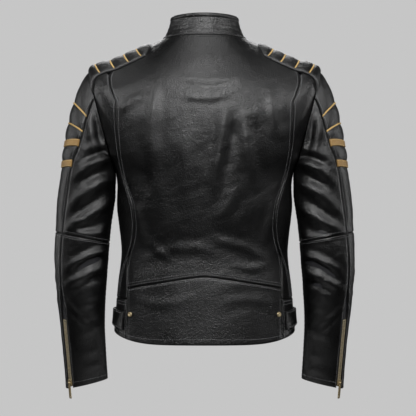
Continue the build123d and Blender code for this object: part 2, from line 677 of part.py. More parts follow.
def jacket():
    front_length = (Vector(0, front_y(FRONT_ZIP_ENDS[1]), FRONT_ZIP_ENDS[1])
                    - Vector(0, front_y(FRONT_ZIP_ENDS[0]), FRONT_ZIP_ENDS[0])).length
    cuff_low, cuff_high = (sleeve(t, CUFF_ZIP_ANGLE) for t in (0.992, CUFF_ZIP_TOP))
    cuff_length = (cuff_high - cuff_low).length - 4
    front = zip_set(front_frame(), front_length, front_length - SLIDER_LENGTH - 1)
    pocket = zip_set(pocket_frame(), POCKET_LENGTH, POCKET_LENGTH - SLIDER_LENGTH - 1)
    cuff = zip_set(cuff_frame(), cuff_length, 0.5, CUFF_TAPE_HALF)
    nodes = {
        "back_centre_panel": [back_centre_panel()],
        "back_waist_panel": [back_waist_panel()],
        "collar_band": [collar_part(0.03, 0.84, 0, LEATHER)],
        "collar_binding": [collar_part(0.86, 1.0, 1.0, LEATHER + 3.2)],
        "collar_lining": [collar_part(0.03, 0.84, -LEATHER - 0.3, 1.0)],
        "collar_tab": [collar_tab()],
        "collar_tab_cap": [collar_tab_cap()],
        "hanger_loop": [hanger_loop()],
        "body_lining": body_lining(),
        "shoulder_piping": shoulder_piping(),
        "snap_studs": snap_studs(),
        "front_zip_tapes": front["tapes"],
        "front_zip_teeth": front["teeth"],
        "front_zip_slider": front["slider"],
        "front_zip_pull": front["pull"],
        "pocket_welts": pocket_welts() + [mirrored(shape) for shape in pocket_welts()],
        "pocket_bags": [pocket_bag(), mirrored(pocket_bag())],
        "pocket_zip_teeth": pocket["teeth"] + [mirrored(shape) for shape in pocket["teeth"]],
    }
    paired = {
        "back_side_panel": side_panel(1),
        "front_side_panel": side_panel(-1),
        "front_centre_panel": [front_centre_panel()],
        "side_gusset": [side_gusset()],
        "side_hem_panel": [side_hem_panel()],
        "shoulder_pad": [shoulder_pad()],
        "waist_tab": waist_tab(),
        "pocket_zip_slider": pocket["slider"],
        "pocket_zip_pull": pocket["pull"],
        "sleeve_stripe_panel": [sleeve_strip(stripe_edge(-1, 1), stripe_edge(1, -1), False, PAD_RISE)],
        "sleeve_back_panel": [sleeve_strip(stripe_edge(1, 1), under_edge(-1), False)],
        "sleeve_front_panel": [sleeve_strip(
            under_edge(1), lambda t: 360 + stripe_edge(-1, -1)(t), False)],
        "sleeve_stripes": sleeve_stripes(),
        "elbow_gusset": [elbow_gusset()],
        "forearm_outer_panel": [sleeve_strip(stripe_edge(-1, 1), stripe_edge(1, -1, True), True)],
        "forearm_back_panel": [sleeve_strip(stripe_edge(1, 1, True), under_edge(-1), True)],
        "forearm_front_panel": [sleeve_strip(
            under_edge(1), lambda t: 360 + stripe_edge(-1, -1)(t), True)],
        "cuff_zip_tapes": cuff["tapes"],
        "cuff_zip_teeth": cuff["teeth"],
        "cuff_zip_slider": cuff["slider"],
        "cuff_zip_pull": cuff["pull"],
    }
    for name, shapes in paired.items():
        nodes.update(both_sides(name, shapes))
    return nodes


if __name__ == "__main__":
    os.makedirs("parts", exist_ok=True)
    for node, shapes in jacket().items():
        solids = [solid for shape in shapes for solid in shape.solids()]
        export_step(Compound(children=solids), f"parts/{node}.step")
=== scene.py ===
import math

import bmesh
import bpy
import numpy as np
from mathutils import Matrix, Vector


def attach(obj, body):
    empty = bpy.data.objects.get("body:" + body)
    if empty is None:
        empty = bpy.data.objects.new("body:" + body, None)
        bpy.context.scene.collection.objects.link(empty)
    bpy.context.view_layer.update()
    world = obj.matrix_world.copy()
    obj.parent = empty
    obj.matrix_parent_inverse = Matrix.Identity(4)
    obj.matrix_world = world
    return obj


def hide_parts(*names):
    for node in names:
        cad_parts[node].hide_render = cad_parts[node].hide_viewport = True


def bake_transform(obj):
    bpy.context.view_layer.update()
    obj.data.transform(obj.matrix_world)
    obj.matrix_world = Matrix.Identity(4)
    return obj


# Looks of the leather riding jacket. Lengths are in millimetres up to the making of a mesh.
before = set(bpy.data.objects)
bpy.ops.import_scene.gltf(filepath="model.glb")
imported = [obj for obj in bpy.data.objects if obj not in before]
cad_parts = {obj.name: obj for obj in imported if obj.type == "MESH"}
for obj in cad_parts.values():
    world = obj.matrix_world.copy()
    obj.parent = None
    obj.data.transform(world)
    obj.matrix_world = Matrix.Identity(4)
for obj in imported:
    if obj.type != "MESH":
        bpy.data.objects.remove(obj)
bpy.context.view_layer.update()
MM = 0.001
RNG = np.random.default_rng(11)

# ---------------------------------------- the jacket's surfaces
ARMPIT = (181.0, 320.0)
SHOULDER_POINT = (236.0, 529.0)
NECK_HEIGHT = 600.0
# station, half width, y at centre back, height at the side, height at centre front, squareness
BODY_SECTIONS = [
    (0, 185, 112, 0, 0, 2.3), (90, 178, 104, 90, 90, 2.3), (165, 170, 100, 165, 165, 2.3),
    (250, 179, 110, 250, 250, 2.35), (320, 181, 119, 320, 316, 2.4), (365, 208, 123, 372, 352, 2.4),
    (410, 232, 124, 455, 390, 2.4), (445, 236, 123, 529, 425, 2.4), (500, 183, 116, 554, 478, 2.35),
    (540, 140, 101, 574, 517, 2.25), (570, 110, 86, 587, 540, 2.15), (600, 86, 66, 598, 562, 2.1),
]
# station, inner rail x and z, outer rail x and z, half depth, y of the middle
SLEEVE_SECTIONS = [
    (0.0, 181, 320, 236, 531, 56, 7), (0.1, 182, 296, 262, 477, 62, 6),
    (0.2, 182.5, 272, 277, 422, 66, 4), (0.3, 186.5, 246, 288, 362, 67, 2),
    (0.4, 191, 217, 295, 297, 64, 0), (0.5, 194.5, 182, 305.5, 203, 58, 0),
    (0.6, 199, 128, 308.5, 138, 55, -6), (0.7, 203.5, 75, 305, 75, 52, -17),
    (0.8, 206.5, 17, 299.5, 14, 48, -29), (0.9, 205, -43, 294, -50, 43, -41),
    (1.0, 202, -104, 289.5, -124, 38, -54),
]
# station and x of the princess seams; the gusset lies between the two lines at the back
UPPER_SEAM = [(175, 147), (192, 143), (221, 140.5), (258, 144.5), (291, 155), (332, 167), (381, 175),
              (451, 177), (520, 174)]
BACK_SEAM = [(0, 156), (115, 156), (140, 155.5), (158, 152)] + UPPER_SEAM
SIDE_SEAM = [(60, 176), (90, 173), (128, 166), (158, 154)] + UPPER_SEAM
FRONT_SEAM = [(0, 142), (70, 138), (165, 130), (250, 136), (320, 150), (400, 168), (470, 176),
              (520, 174)]
# t and half angle of the sleeve's outer strip
STRIPE_EDGE = [(0.0, 62), (0.08, 64), (0.14, 65), (0.21, 62), (0.3, 54), (0.4, 50), (0.5, 47),
               (0.6, 44.5), (0.7, 42.5), (1.0, 42.5)]
FRONT_HEM_Y, FRONT_NECK_Y, FRONT_NECK_Z = -112.0, -88.0, 562.0
NECK_Y = -11.0  # middle of the neck, ahead of the body's middle
HEM_DROP = 20.0  # the back hem hangs this far below the sides
HEM_DROP_END = 90.0  # station where the drop has eased out
HEM_SIDE_TOP = 70.0  # top of the hem side pieces, below the side pieces
SIDE_TOP = 474.0  # upper end of the side pieces, under the shoulder pads
GUSSET_TOP = 153.0
FRONT_EDGE_X = 6.4  # front edge, beside the zip's teeth
RIDGE_FROM = 440.0  # station where the princess seams turn to the shoulder's ridge
ARMHOLE_STATIONS = (316, 448)
PAD_REACH = {1: 55.0, -1: 48.0}  # how far a shoulder pad reaches behind and in front of the ridge
PAD_END = (571.0, 547.0)  # stations of a pad's inner edge, at the ridge and at the corners
GAP = 0.25  # from a piece's edge to its seam line
CUFF_ZIP_GAP = 6.6  # from a panel's edge to the cuff zip's middle
CUFF_ZIP_OPEN, CUFF_ZIP_FADE = 0.66, 0.105  # stations over which the panels part for the zip
POCKET_ENDS = ((95.0, 185.0), (122.0, 66.0))
POCKET_GAP = 8.4  # half width of the slit in the front panel
COLLAR_SWEEP = (-87.0, 267.0)  # angles of the collar's two front ends
LINING_ENDS = (5.0, 594.0)  # stations of the lining's hem and neckline
TAB_STATIONS, TAB_ANGLES = (15.0, 48.0), (-6.0, 20.5)


def smooth(table, column, at):
    """One column of a table at a station, by a cubic through the rows."""
    rows = np.array(table, float)
    x, y = rows[:, 0], rows[:, column]
    at = np.asarray(at, float)
    i = np.clip(np.searchsorted(x, at) - 1, 0, len(x) - 2)
    before, after = np.maximum(i - 1, 0), np.minimum(i + 2, len(x) - 1)
    span = x[i + 1] - x[i]
    slope_1 = (y[i + 1] - y[before]) / (x[i + 1] - x[before]) * span
    slope_2 = (y[after] - y[i]) / (x[after] - x[i]) * span
    f = np.clip((at - x[i]) / span, 0, 1)
    return (y[i] * (1 + 2 * f) * (1 - f) ** 2 + slope_1 * f * (1 - f) ** 2
            + y[i + 1] * f * f * (3 - 2 * f) - slope_2 * f * f * (1 - f))


def ease(f):
    """Smooth step from 0 to 1."""
    f = np.clip(f, 0, 1)
    return f * f * (3 - 2 * f)


def mix(a, b, f):
    return a + (b - a) * f


def front_y(z):
    return mix(FRONT_HEM_Y, FRONT_NECK_Y, z / FRONT_NECK_Z)


def section(s):
    """Half width, depths behind and before the middle, the middle, three heights and the squareness."""
    half, back, side_z, front_z, power = (smooth(BODY_SECTIONS, c, s) for c in range(1, 6))
    back_z = s - HEM_DROP * ease(1 - s / HEM_DROP_END)
    middle = NECK_Y * ease((s - 400) / 200)
    return half, back - middle, middle - front_y(front_z), middle, side_z, back_z, front_z, power


def body(s, angle):
    """Point on the body: station s up the body, angle from the wearer's left round the back."""
    half, back, front, middle, side_z, back_z, front_z, power = section(s)
    c, d = np.cos(np.radians(angle)), np.sin(np.radians(angle))
    depth, level = np.where(d >= 0, back, front), np.where(d >= 0, back_z, front_z)
    reach = (np.abs(c / half) ** power + np.abs(d / depth) ** power) ** (-1 / power)
    return np.stack([reach * c, middle + reach * d, mix(side_z, level, 1 - np.abs(c) ** 10)], -1)


def sleeve(t, angle):
    """Point on the left sleeve: t from shoulder to cuff, angle from the outer rail round the back."""
    ix, iz, ox, oz, depth, middle = (smooth(SLEEVE_SECTIONS, c, t) for c in range(1, 7))
    c, d = np.cos(np.radians(angle)), np.sin(np.radians(angle))
    return np.stack([mix(ix, ox, (1 + c) / 2), middle + depth * d, mix(iz, oz, (1 + c) / 2)], -1)


def collar(h, angle):
    """Point on the collar: h from its foot to its top edge."""
    flare = (1 - h) ** 3
    half, back, front = mix(79, 68, h) + 5 * flare, mix(70, 67, h) + 5 * flare, 76 + 1.5 * flare
    side_z, back_z, front_z = 599 + h * 44, 601 + h * 45, 564 + h * 41
    c, d = np.cos(np.radians(angle)), np.sin(np.radians(angle))
    depth, level = np.where(d >= 0, back, front), np.where(d >= 0, back_z, front_z)
    reach = (np.abs(c / half) ** 2.1 + np.abs(d / depth) ** 2.1) ** (-1 / 2.1)
    return np.stack([reach * c, NECK_Y + reach * d, mix(side_z, level, np.abs(d) ** 1.6)], -1)


def outward(surface, u, angle):
    """Unit normal of a surface."""
    du = 0.5 if surface is body else 0.004
    along = surface(u + du, angle) - surface(u - du, angle)
    around = surface(u, angle + 0.5) - surface(u, angle - 0.5)
    normal = np.cross(along, around) if surface is sleeve else np.cross(around, along)
    return normal / np.linalg.norm(normal, axis=-1, keepdims=True)


def armhole_x(z):
    """The armhole is a sloping plane through the armpit and the shoulder point."""
    across, up = SHOULDER_POINT[0] - ARMPIT[0], SHOULDER_POINT[1] - ARMPIT[1]
    return ARMPIT[0] + (z - ARMPIT[1]) * across / up


def angle_at(s, x, side):
    """Angle at which the body's section reaches x; side is 1 on the back and -1 on the front."""
    half, back, front, _, _, _, _, power = section(s)
    share = np.minimum(x / half, 0.9995)
    depth = (back if side > 0 else front) * (1 - share**power) ** (1 / power)
    return side * np.degrees(np.arctan2(depth, share * half))


def pad_angle(s, side):
    """Angle of a shoulder pad's back or front edge."""
    half, back, front, _, _, _, _, power = section(s)
    reach, depth = PAD_REACH[side], back if side > 0 else front
    across = half * (1 - (reach / depth) ** power) ** (1 / power)
    return side * np.degrees(np.arctan2(reach, across))


def seam_angle(s, side, line=None):
    """Angle of a princess seam; under the shoulder pad it nears the ridge."""
    line = line or (BACK_SEAM if side > 0 else FRONT_SEAM)
    low = np.abs(angle_at(s, smooth(line, 1, s), side))
    keys = [(k, float(np.abs(angle_at(k, smooth(line, 1, k), side)))) for k in (420, 440)]
    high = smooth(keys + [(483, 16), (520, 9), (555, 3), (580, 1), (600, 0.6)], 1, s)
    return side * np.where(np.asarray(s) < RIDGE_FROM, low, high)


def degrees_per_mm(surface, s, angle):
    return 1 / np.linalg.norm(surface(s, angle + 0.5) - surface(s, angle - 0.5), axis=-1)


def bisect(low, high, inside, shape):
    """Value between low and high where inside(value) stops being true, for arrays."""
    low, high = np.full(shape, float(low)), np.full(shape, float(high))
    for _ in range(26):
        middle = (low + high) / 2
        hit = inside(middle)
        low, high = np.where(hit, middle, low), np.where(hit, high, middle)
    return low


def armhole_angle(s, side):
    """Angle where the body meets the armhole plane, and 0 where it doesn't."""
    low, high = ARMHOLE_STATIONS

    def inside(angle):
        p = body(s, side * angle)
        return (p[..., 0] > armhole_x(p[..., 2]) - GAP) & (np.asarray(s) > low) & (np.asarray(s) < high)
    return side * bisect(0, 60, inside, np.shape(s))


def sleeve_start(angle):
    """Station where the sleeve meets the armhole plane."""
    def inside(t):
        p = sleeve(t, angle)
        return p[..., 0] < armhole_x(p[..., 2]) + GAP
    return bisect(0, 0.3, inside, np.shape(angle))


# ---------------------------------------- folds
# x and z of a fold's start, middle and end, then its height and width
BACK_FOLDS = [
    (101, 490, 105, 424, 112, 330, 3.2, 12),
    (128, 400, 120, 330, 118, 262, -2.6, 14),
    (-80, 430, -87, 361, -101, 300, 3.2, 11),
    (-41, 448, -33, 382, -18, 300, 2.4, 10),
    (-62, 430, -52, 370, -40, 300, -2.4, 12),
    (166, 442, 148, 462, 122, 474, 2.4, 8),
    (-131, 482, -136, 445, -142, 400, 2.4, 9),
    (106, 186, 90, 165, 66, 150, 1.4, 7),
    (-25, 228, -48, 262, -74, 300, 1.8, 12),
    (60, 500, 0, 492, -60, 498, -1.4, 7),
    (52, 474, 0, 468, -50, 473, 1.0, 6),
    (120, 150, 40, 172, -30, 160, 1.6, 10),
    (-120, 152, -70, 176, -10, 186, 1.7, 9),
    (-60, 140, -90, 132, -125, 138, 1.4, 7),
    (30, 400, 36, 330, 26, 240, 1.6, 16),
    (140, 70, 80, 62, 30, 74, 1.2, 9),
    (-30, 60, -80, 70, -140, 60, 1.2, 9),
    (135, 250, 128, 215, 122, 180, 2.0, 8),
    (-135, 250, -128, 215, -120, 175, 2.0, 8),
]
FRONT_FOLDS = [
    (60, 500, 75, 430, 80, 350, 2.4, 13),
    (-60, 500, -78, 430, -84, 350, 2.4, 13),
    (110, 420, 100, 350, 96, 280, -2.0, 14),
    (-112, 420, -100, 350, -94, 280, -2.0, 14),
    (120, 230, 70, 205, 24, 215, 2.0, 9),
    (-120, 236, -72, 212, -24, 206, 2.0, 9),
    (130, 160, 150, 130, 160, 100, 1.5, 8),
    (-130, 160, -150, 130, -160, 100, 1.5, 8),
    (60, 120, 40, 80, 30, 30, 1.4, 12),
    (-60, 120, -42, 80, -32, 30, 1.4, 12),
]
SLEEVE_FOLDS = [
    (236, 462, 231, 420, 222, 372, 2.6, 8),
    (214, 440, 212, 405, 206, 372, -2.0, 8),
    (186, 352, 212, 346, 246, 330, 3.4, 8),
    (188, 366, 212, 364, 240, 352, -3.0, 7),
    (188, 330, 220, 318, 262, 300, -2.8, 8),
    (190, 312, 226, 292, 268, 262, 3.0, 9),
    (192, 286, 226, 262, 268, 232, -2.4, 9),
    (194, 262, 232, 238, 284, 212, 2.8, 9),
    (196, 228, 226, 214, 262, 206, -2.0, 7),
    (198, 204, 232, 200, 290, 216, 1.6, 6),
    (198, 166, 230, 158, 272, 134, 3.2, 7),
    (200, 150, 232, 142, 268, 118, -2.6, 7),
    (202, 132, 236, 118, 284, 94, 2.8, 7),
    (204, 110, 236, 100, 262, 84, -1.8, 7),
    (299, 86, 273, 50, 240, 24, 2.8, 5),
    (292, 66, 266, 36, 238, 8, -2.2, 6),
    (206, 74, 226, 60, 252, 56, 1.8, 7),
    (210, 20, 232, 4, 262, -4, 1.8, 8),
    (214, -30, 236, -44, 266, -40, 1.4, 8),
    (212, -70, 236, -76, 262, -84, 1.0, 6),
]


def fold_height(points, folds, lift=0.0):
    """Sum of soft ridges and valleys drawn in the X-Z plane."""
    x, z = points[..., 0], points[..., 2] + lift
    total = np.zeros(x.shape)
    for *spots, amount, width in folds:
        a, b, c = np.array(spots, float).reshape(3, 2)
        nearest, place = np.full(x.shape, 1e9), np.zeros(x.shape)
        for k in np.linspace(0, 1, 25):
            q = a * (1 - k) ** 2 + 2 * k * (1 - k) * (2 * b - (a + c) / 2) + c * k * k
            distance = np.hypot(x - q[0], z - q[1])
            place = np.where(distance < nearest, k, place)
            nearest = np.minimum(distance, nearest)
        taper = np.clip(np.minimum(place, 1 - place) * 3 + 0.25, 0, 1)
        r = nearest / width
        total += amount * taper * (np.exp(-r * r) - 0.4 * np.exp(-((r - 1.9) ** 2)))
    return total


WAVES = [(RNG.normal(size=3), RNG.uniform(0, 6.28)) for _ in range(14)]


def waves(points, length, amount):
    """Irregular shallow waves of about the given length."""
    total = np.zeros(points.shape[:-1])
    for k, (direction, phase) in enumerate(WAVES):
        total += np.sin(points @ direction * (2.4 / length) * (0.7 + 0.06 * k) + phase * (1 + k))
    return amount * total / 3.7


def wavy(length, amount):
    return lambda points, normal, edges, i, j: waves(points, length, amount)


def ridges(points, length, amount):
    """Narrow creases between soft mounds."""
    return amount * (0.5 - np.exp(-(waves(points, length, 1.0) * 2.2) ** 2))


# ---------------------------------------- materials
def nodes_of(name):
    mat = bpy.data.materials.new(name)
    mat.use_nodes = True
    tree = mat.node_tree
    return mat, tree, tree.nodes["Principled BSDF"]


def add(tree, kind, **values):
    node = tree.nodes.new(kind)
    for key, value in values.items():
        if hasattr(node, key):
            setattr(node, key, value)
        else:
            node.inputs[key.replace("_", " ")].default_value = value
    return node


def ramp(tree, source, low, high, low_at=0.3, high_at=0.7):
    node = add(tree, "ShaderNodeMapRange")
    for key, value in (("From Min", low_at), ("From Max", high_at), ("To Min", low), ("To Max", high)):
        node.inputs[key].default_value = value
    tree.links.new(source, node.inputs["Value"])
    return node.outputs["Result"]


def blend_colour(tree, factor, low, high):
    node = add(tree, "ShaderNodeMix", data_type="RGBA")
    node.inputs[6].default_value = (*low, 1)
    node.inputs[7].default_value = (*high, 1)
    tree.links.new(factor, node.inputs[0])
    return node.outputs[2]


def leather(name, dark, light, rough, grain=460.0, depth=0.6):
    """Pebbled leather: grain cells, fine creases, patchy gloss."""
    mat, tree, shader = nodes_of(name)
    place = add(tree, "ShaderNodeTexCoord").outputs["Object"]
    cells = add(tree, "ShaderNodeTexVoronoi", Scale=grain)
    fine = add(tree, "ShaderNodeTexNoise", Scale=1400.0, Detail=3.0)
    patches = add(tree, "ShaderNodeTexNoise", Scale=16.0, Detail=4.0)
    creases = add(tree, "ShaderNodeTexNoise", Scale=130.0, Detail=6.0, Roughness=0.7)
    for node in (cells, fine, patches, creases):
        tree.links.new(place, node.inputs["Vector"])
    tree.links.new(blend_colour(tree, ramp(tree, patches.outputs[0], 0, 1), dark, light),
                   shader.inputs["Base Color"])
    gloss = add(tree, "ShaderNodeMath", operation="ADD")
    tree.links.new(ramp(tree, patches.outputs[0], rough - 0.03, rough + 0.09), gloss.inputs[0])
    tree.links.new(ramp(tree, cells.outputs["Distance"], -0.03, 0.08, 0.1, 0.7), gloss.inputs[1])
    tree.links.new(gloss.outputs[0], shader.inputs["Roughness"])
    shader.inputs["Specular IOR Level"].default_value = 0.5
    normal = None
    for source, strength, distance in (
        (creases.outputs[0], 0.42, 0.0018), (cells.outputs["Distance"], depth, 0.0007),
        (fine.outputs[0], 0.25, 0.0002),
    ):
        bump = add(tree, "ShaderNodeBump", Strength=strength, Distance=distance)
        bump.invert = source is cells.outputs["Distance"]
        tree.links.new(source, bump.inputs["Height"])
        if normal:
            tree.links.new(normal, bump.inputs["Normal"])
        normal = bump.outputs["Normal"]
    tree.links.new(normal, shader.inputs["Normal"])
    return mat


def metal(name, dark, light, rough):
    """Antiqued metal: darkened patches and fine scratches."""
    mat, tree, shader = nodes_of(name)
    place = add(tree, "ShaderNodeTexCoord").outputs["Object"]
    stain = add(tree, "ShaderNodeTexNoise", Scale=260.0, Detail=5.0)
    scratch = add(tree, "ShaderNodeTexNoise", Scale=1500.0, Detail=2.0)
    for node in (stain, scratch):
        tree.links.new(place, node.inputs["Vector"])
    tree.links.new(blend_colour(tree, ramp(tree, stain.outputs[0], 0, 1), dark, light),
                   shader.inputs["Base Color"])
    tree.links.new(ramp(tree, stain.outputs[0], rough + 0.15, rough), shader.inputs["Roughness"])
    shader.inputs["Metallic"].default_value = 0.7
    bump = add(tree, "ShaderNodeBump", Strength=0.25, Distance=0.0002)
    tree.links.new(scratch.outputs[0], bump.inputs["Height"])
    tree.links.new(bump.outputs[0], shader.inputs["Normal"])
    return mat


def cloth(name, dark, light, rough, pitch=900.0):
    """Woven cloth: two crossed sets of threads."""
    mat, tree, shader = nodes_of(name)
    place = add(tree, "ShaderNodeTexCoord").outputs["Object"]
    both = add(tree, "ShaderNodeMath", operation="MULTIPLY")
    for k, direction in enumerate(("X", "Z")):
        wave = add(tree, "ShaderNodeTexWave", bands_direction=direction, Scale=pitch / 3.14,
                   Distortion=1.0)
        tree.links.new(place, wave.inputs["Vector"])
        tree.links.new(wave.outputs[1], both.inputs[k])
    tree.links.new(blend_colour(tree, both.outputs[0], dark, light), shader.inputs["Base Color"])
    shader.inputs["Roughness"].default_value = rough
    bump = add(tree, "ShaderNodeBump", Strength=0.4, Distance=0.0003)
    tree.links.new(both.outputs[0], bump.inputs["Height"])
    tree.links.new(bump.outputs[0], shader.inputs["Normal"])
    return mat


BLACK = leather("black_leather", (0.0025, 0.0025, 0.0026), (0.0055, 0.0055, 0.0056), 0.27)
PADDED = leather("padded_black_leather", (0.003, 0.003, 0.0031), (0.007, 0.007, 0.0071), 0.30)
BAR = leather("bar_leather", (0.20, 0.11, 0.03), (0.36, 0.22, 0.07), 0.46, 600.0, 0.7)
MUSTARD = leather("mustard_leather", (0.40, 0.26, 0.085), (0.52, 0.35, 0.13), 0.46, 700.0, 0.3)
THREAD = cloth("grey_thread", (0.10, 0.10, 0.103), (0.30, 0.30, 0.31), 0.5, 2400.0)
GOLD_THREAD = cloth("gold_thread", (0.50, 0.36, 0.15), (0.68, 0.52, 0.26), 0.55, 2400.0)
LINING = cloth("satin_lining", (0.018, 0.018, 0.020), (0.035, 0.035, 0.040), 0.35, 1500.0)
TAPE = cloth("zip_tape", (0.010, 0.010, 0.010), (0.022, 0.022, 0.023), 0.75, 1600.0)
BRASS = metal("antique_brass", (0.34, 0.26, 0.14), (0.72, 0.59, 0.36), 0.30)
TEETH = metal("zip_teeth_brass", (0.50, 0.42, 0.27), (0.86, 0.75, 0.53), 0.36)


# ---------------------------------------- meshes
SIDES = (("left", 1.0), ("right", -1.0))
# distances of a sheet's first grid lines from its edge
NEAR_EDGE = np.array([0, 0.5, 1.1, 1.9, 3.0, 4.6, 7.0])
SHORT_EDGE = 22  # shorter edges have an even grid
SHARP = 0.9  # an edge with a larger angle between its faces is shaded sharp
PUCKER = 0.3  # height of the gathers along a seam
# grid line that a row of stitches follows, counted from the edge
STRAP_ROW, PAD_ROW, BAND_ROW, OUTER_ROW, INNER_ROW = 2, 3, 4, 5, 7


def steps(length, pitch=2.6):
    """Shares from 0 to 1 along a length, closer together near both ends."""
    if length < SHORT_EDGE:
        even = np.linspace(0, 1, max(9, int(length / 1.2)))
        return (ease(even) + even) / 2
    reach = NEAR_EDGE[-1]
    count = max(2, int((length - 2 * reach) / pitch))
    middle = np.linspace(reach, length - reach, count)[1:-1]
    return np.concatenate([NEAR_EDGE, middle, length - NEAR_EDGE[::-1]]) / length


def margins(p):
    """Distance of each grid point from the low and high row edges and column edges."""
    out = []
    for axis in (0, 1):
        run = np.cumsum(np.linalg.norm(np.diff(p, axis=axis), axis=-1), axis=axis)
        pad = [(0, 0), (0, 0)]
        pad[axis] = (1, 0)
        run = np.pad(run, pad)
        out += [run, np.take(run, [-1], axis=axis) - run]
    return out


def mesh_object(name, verts, faces, mat):
    data = bpy.data.meshes.new(name)
    data.from_pydata(verts, [], faces)
    obj = bpy.data.objects.new(name, data)
    bpy.context.collection.objects.link(obj)
    data.materials.append(mat)
    data.polygons.foreach_set("use_smooth", np.ones(len(data.polygons), bool))
    return obj


def solid_grid(name, top, under, mat, keep, turn):
    """Closed sheet between two grids of points; faces where keep is false are left out."""
    rows, cols = top.shape[:2]
    flip = np.array([turn, 1, 1]) * MM
    verts = np.concatenate([top.reshape(-1, 3) * flip, under.reshape(-1, 3) * flip])
    index = np.arange(rows * cols).reshape(rows, cols)
    quads = np.stack([index[:-1, :-1], index[:-1, 1:], index[1:, 1:], index[1:, :-1]], -1).reshape(-1, 4)
    if keep is not None:
        quads = quads[keep.reshape(-1)]
    pairs = np.concatenate([quads[:, [0, 1]], quads[:, [1, 2]], quads[:, [2, 3]], quads[:, [3, 0]]])
    _, first, count = np.unique(np.sort(pairs, axis=1), axis=0, return_index=True, return_counts=True)
    rim = pairs[first[count == 1]]
    lower = quads[:, ::-1] + rows * cols
    walls = np.stack([rim[:, 1], rim[:, 0], rim[:, 0] + rows * cols, rim[:, 1] + rows * cols], -1)
    obj = mesh_object(name, verts.tolist(), np.concatenate([quads, lower, walls]).tolist(), mat)
    shape = bmesh.new()
    shape.from_mesh(obj.data)
    bmesh.ops.delete(shape, geom=[v for v in shape.verts if not v.link_faces], context="VERTS")
    bmesh.ops.recalc_face_normals(shape, faces=shape.faces)
    for edge in shape.edges:
        edge.smooth = edge.calc_face_angle(0) < SHARP
    shape.to_mesh(obj.data)
    shape.free()
    return obj


def pucker(run, margin):
    """Small gathers along a stitched seam."""
    drift = 1.8 * np.sin(run / 27) + 1.1 * np.sin(run / 11)
    return PUCKER * np.sin(run * 0.72 + drift) * np.exp(-((margin / 7) ** 2))


def sheet(name, surface, place, size, mat, height=None, thick=2.0, base=0.0, roll=1.7, roll_width=4.2,
          free=(), turn=1.0, keep=None, pitch=2.6):
    """Leather piece on a surface. place(i, j) gives station and angle, size its width and height."""
    i, j = np.meshgrid(steps(size[0], pitch), steps(size[1], pitch))
    u, angle = place(i, j)
    u, angle = np.broadcast_arrays(u, angle)
    points, normal = surface(u, angle), outward(surface, u, angle)
    low, high, first, last = margins(points)
    edges = {"low": low, "high": high, "first": first, "last": last}
    margin = np.min([edges[k] for k in edges if k not in free], axis=0)
    rise = base - roll * (1 - np.sqrt(1 - (1 - np.clip(margin / roll_width, 0, 1)) ** 2))
    if height is not None:
        rise = rise + height(points, normal, edges, i, j) * ease(margin / 9)
        gathers = pucker(low, np.minimum(first, last)) + pucker(first, np.minimum(low, high))
        rise = rise + gathers * ease(margin / 3)
    top = points + normal * rise[..., None]
    under = points + normal * (np.minimum(rise, base - roll * 0.3) - thick)[..., None]
    mask = None if keep is None else keep(points)
    obj = solid_grid(name, top, under, mat, mask, turn)
    return {"obj": obj, "top": top, "normal": normal, "turn": turn}


def cord(name, line, up, radius, mat, turn=1.0, flat=0.8, sides=12):
    """Closed rounded strip along a line, a little flatter than a tube."""
    tangent = np.gradient(line, axis=0)
    across = np.cross(tangent, up)
    across /= np.linalg.norm(across, axis=-1, keepdims=True)
    turns = np.linspace(0, 2 * np.pi, sides, endpoint=False)
    taper = np.ones(len(line))
    taper[0] = taper[-1] = 0.55
    rings = [line + (across * np.cos(a) + up * np.sin(a) * flat) * radius * taper[:, None] for a in turns]
    verts = np.stack(rings, 1).reshape(-1, 3) * np.array([turn, 1, 1]) * MM
    faces = []
    for r in range(len(line) - 1):
        for k in range(sides):
            m = (k + 1) % sides
            faces.append([r * sides + k, r * sides + m, (r + 1) * sides + m, (r + 1) * sides + k])
    faces += [list(range(sides)), [len(verts) - 1 - k for k in range(sides)]]
    obj = mesh_object(name, verts.tolist(), faces, mat)
    shape = bmesh.new()
    shape.from_mesh(obj.data)
    bmesh.ops.recalc_face_normals(shape, faces=shape.faces)
    shape.to_mesh(obj.data)
    shape.free()
    return obj


def stitch_row(points, normals, turn, pitch=3.6, long=2.7, radius=0.48):
    """Corners and faces of a row of thread stitches along a line of points."""
    run = np.concatenate([[0], np.cumsum(np.linalg.norm(np.diff(points, axis=0), axis=-1))])
    at = np.arange(pitch / 2, run[-1] - pitch / 2, pitch)

    def along(values, shift):
        return np.stack([np.interp(at + shift, run, values[:, k]) for k in range(3)], -1)
    start, end, up = along(points, -long / 2), along(points, long / 2), along(normals, 0)
    side = np.cross(end - start, up)
    side /= np.linalg.norm(side, axis=-1, keepdims=True)
    flip = np.array([turn, 1, 1]) * MM
    ring = []
    for share in (0.22, 0.78):
        centre = start + (end - start) * share + up * radius * 0.35
        ring += [centre + side * radius, centre + up * radius, centre - side * radius, centre - up * radius]
    corner = np.stack([start - up * radius * 0.5, *ring, end - up * radius * 0.5], 1) * flip
    faces = []
    for k in range(4):
        m = (k + 1) % 4
        faces += [[0, 1 + k, 1 + m], [1 + k, 5 + k, 5 + m, 1 + m], [9, 5 + m, 5 + k]]
    if turn < 0:
        faces = [f[::-1] for f in faces]
    return corner.reshape(-1, 3), [[v + 10 * n for v in f] for n in range(len(at)) for f in faces]


EDGE_LINES = {"low": lambda a, k: a[k], "high": lambda a, k: a[-1 - k],
              "first": lambda a, k: a[:, k], "last": lambda a, k: a[:, -1 - k]}
THREADS = {}  # one mesh of stitches for each body and colour of thread


